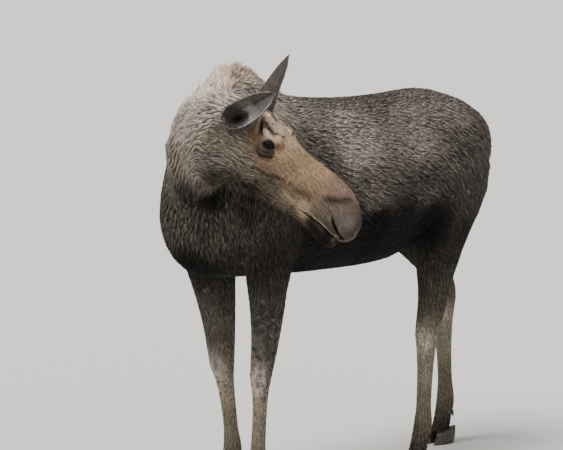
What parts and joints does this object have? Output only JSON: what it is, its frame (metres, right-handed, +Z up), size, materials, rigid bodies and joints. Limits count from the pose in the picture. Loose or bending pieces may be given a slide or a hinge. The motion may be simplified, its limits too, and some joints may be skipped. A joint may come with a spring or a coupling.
{
  "type": "moose",
  "caption": "Standing cow moose, life size, head turned back over the left side: long face, shoulder hump, long legs, cloven hooves. Still museum-type model.",
  "frame": {"origin": "on the floor, under the middle of the animal's box", "axes": "+Z up; the moose faces -Y, its left side and its turned head are on the +X side"},
  "size_m": [1.2346, 2.1696, 1.9129],
  "materials": {
    "coat": "dense dark brown-grey hair, grizzled on the back",
    "mane": "long pale pinkish-grey hair on the crest, grizzled grey on the neck",
    "face": "short flat tan-brown hair, greyer on the muzzle",
    "leg": "short dark hair with paler patches at knees and hocks",
    "ear": "short dark grey hair with pale rims",
    "horn": "worn dark hoof horn",
    "eye": "wet dark brown eye"
  },
  "bodies": {
    "root": {"trunk": "coat", "neck": "mane", "head": "face", "lower_jaw": "face", "ear_left": "ear", "ear_right": "ear", "eye_left": "eye", "eye_right": "eye", "tail": "coat", "foreleg_left_claw_outer": "horn", "foreleg_left_dewclaw_outer": "horn", "foreleg_left_claw_inner": "horn", "foreleg_left_dewclaw_inner": "horn", "foreleg_left_upper": "leg", "foreleg_left_lower": "leg", "foreleg_right_claw_outer": "horn", "foreleg_right_dewclaw_outer": "horn", "foreleg_right_claw_inner": "horn", "foreleg_right_dewclaw_inner": "horn", "foreleg_right_upper": "leg", "foreleg_right_lower": "leg", "hindleg_left_claw_outer": "horn", "hindleg_left_dewclaw_outer": "horn", "hindleg_left_claw_inner": "horn", "hindleg_left_dewclaw_inner": "horn", "hindleg_left_upper": "leg", "hindleg_left_lower": "leg", "hindleg_right_claw_outer": "horn", "hindleg_right_dewclaw_outer": "horn", "hindleg_right_claw_inner": "horn", "hindleg_right_dewclaw_inner": "horn", "hindleg_right_upper": "leg", "hindleg_right_lower": "leg"}
  },
  "joints": []
}
